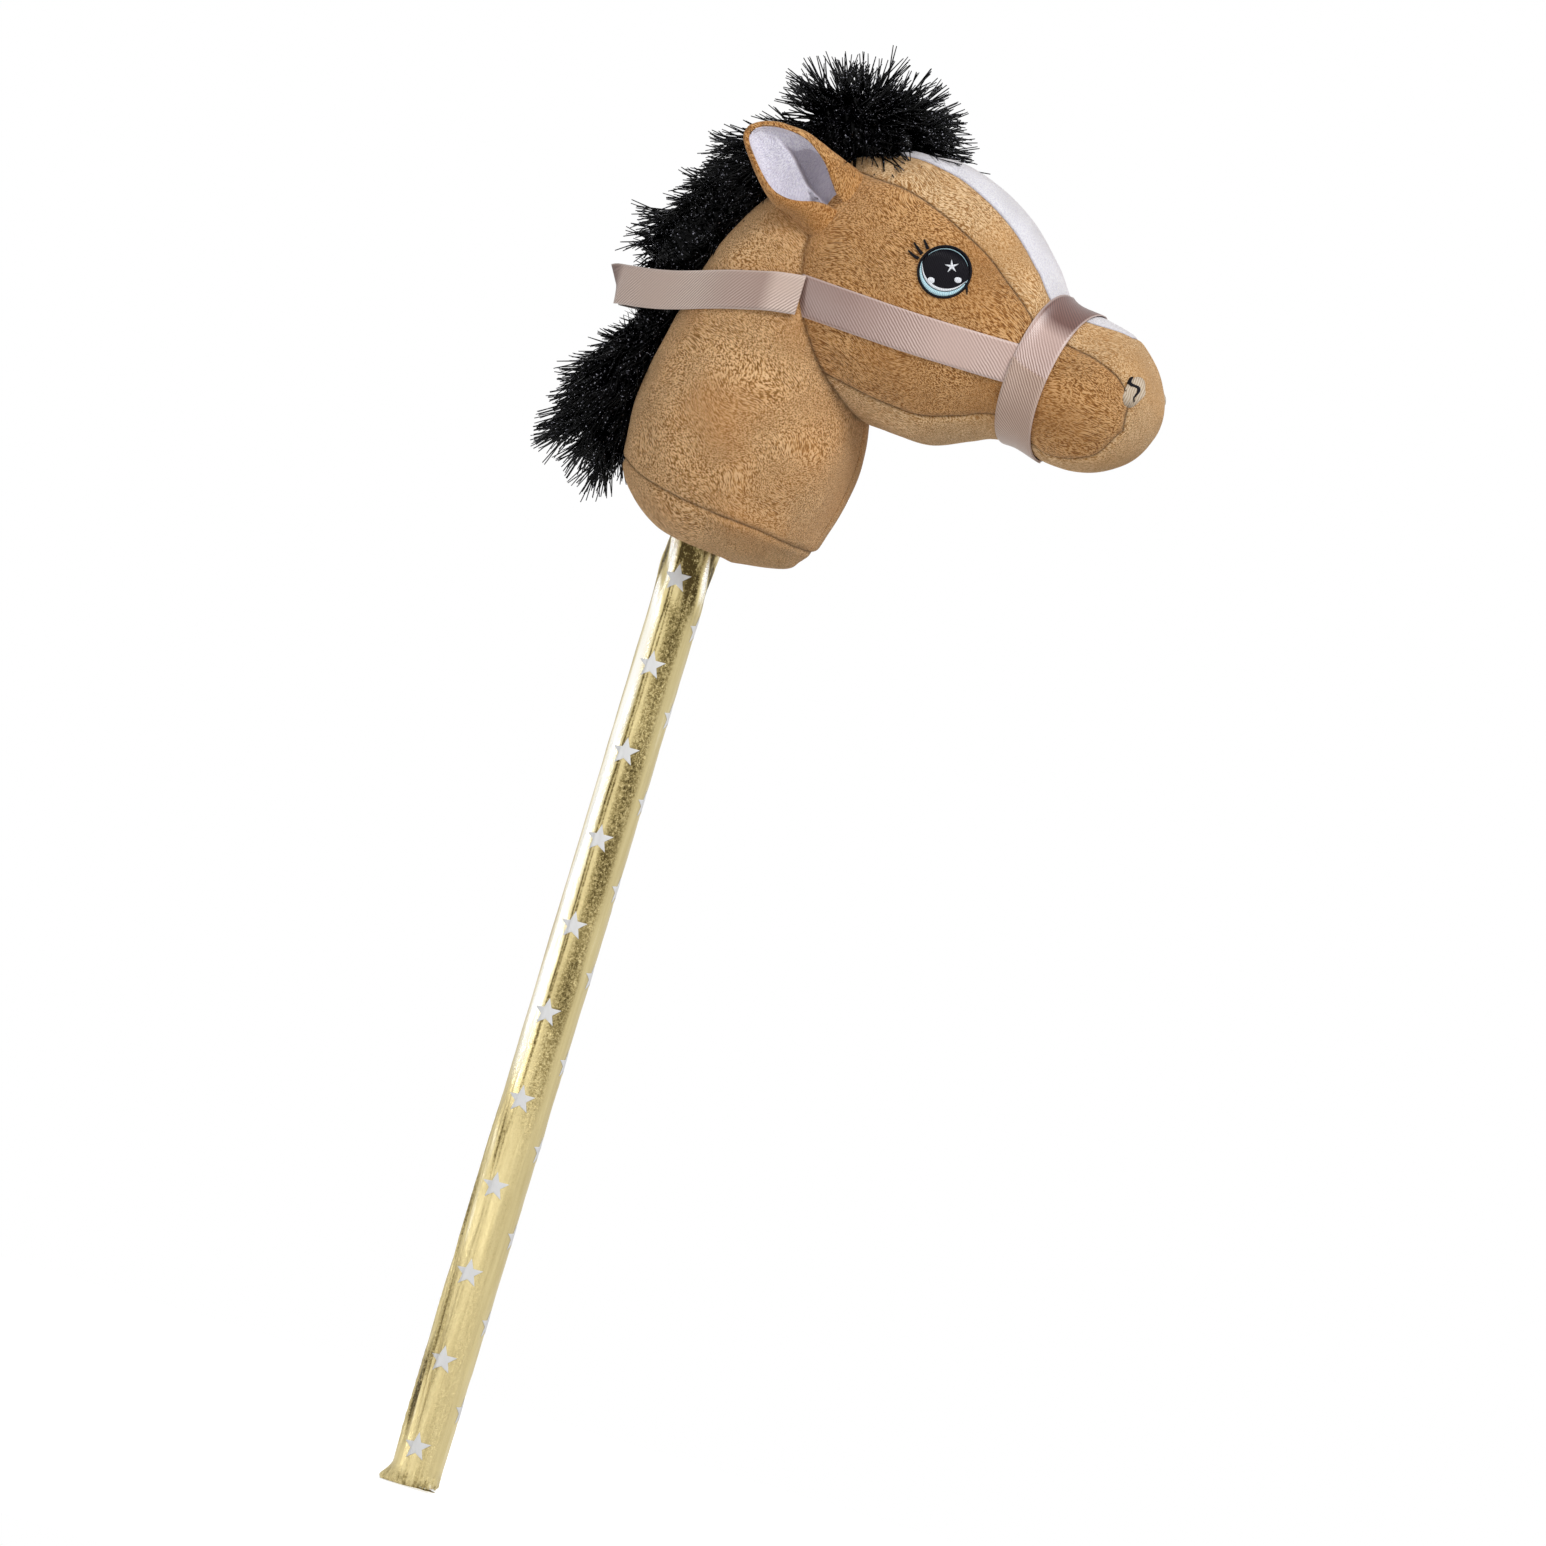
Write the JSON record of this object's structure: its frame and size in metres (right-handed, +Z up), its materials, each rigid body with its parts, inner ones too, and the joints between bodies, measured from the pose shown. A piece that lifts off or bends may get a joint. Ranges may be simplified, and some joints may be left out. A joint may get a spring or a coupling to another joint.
{
  "type": "stuffed hobby horse",
  "caption": "Stuffed plush horse head and neck with ribbon halter and reins, on a wooden stick in a shiny cloth sleeve, for a child to ride",
  "frame": {"origin": "centre of the flat foot, on the stick's axis", "axes": "+Z up along the stick, +X forward the way the horse faces, -Y the horse's own right side"},
  "size_m": [0.318, 0.1412, 0.7813],
  "materials": {
    "stick": "plain turned wood",
    "stick_foot_pad": "smooth",
    "stick_top_cap": "smooth",
    "gold_cloth": "shiny metallic cloth with printed pale stars",
    "stuffing": "loose polyester fibre",
    "tan_plush": "short tan plush",
    "white_plush": "short white plush",
    "eye_thread": "satin stitch embroidery",
    "nostril_thread": "satin stitch embroidery",
    "ribbon": "dusty brown satin ribbon",
    "black_fur": "long glossy black pile"
  },
  "bodies": {
    "horse": {"stick": "stick", "stick_foot_pad": "stick_foot_pad", "stick_top_cap": "stick_top_cap", "stick_sleeve": "gold_cloth", "sleeve_foot_disc": "gold_cloth", "neck_filling": "stuffing", "head_filling": "stuffing", "neck_base_panel": "tan_plush", "neck_panel_right": "tan_plush", "neck_panel_left": "tan_plush", "face_panel_right": "tan_plush", "face_panel_left": "tan_plush", "centre_gusset": "tan_plush", "blaze": "white_plush", "eye_right": "eye_thread", "eye_left": "eye_thread", "nostril_right": "nostril_thread", "nostril_left": "nostril_thread", "cheek_strap_right": "ribbon", "cheek_strap_left": "ribbon", "noseband": "ribbon", "forelock": "black_fur", "mane": "black_fur"},
    "reins": {"reins": "ribbon"},
    "ear_right": {"ear_right_outer": "tan_plush", "ear_right_lining": "white_plush"},
    "ear_left": {"ear_left_outer": "tan_plush", "ear_left_lining": "white_plush"}
  },
  "joints": [
    {"name": "rein_swing", "type": "hinge", "parent": "horse", "child": "reins", "pos_m": [0.029, 0, 0.651], "axis": [0, 1, 0], "range_deg": [0, 40]},
    {"name": "ear_right_fold", "type": "hinge", "parent": "horse", "child": "ear_right", "pos_m": [0.03651, -0.04828, 0.70047], "axis": [0.3462, 0.168, 0.923], "range_deg": [0, 25], "stiffness_Nm_per_rad": 0.03},
    {"name": "ear_left_fold", "type": "hinge", "parent": "horse", "child": "ear_left", "pos_m": [0.03651, 0.04828, 0.70047], "axis": [-0.3462, 0.168, -0.923], "range_deg": [0, 25], "stiffness_Nm_per_rad": 0.03}
  ]
}
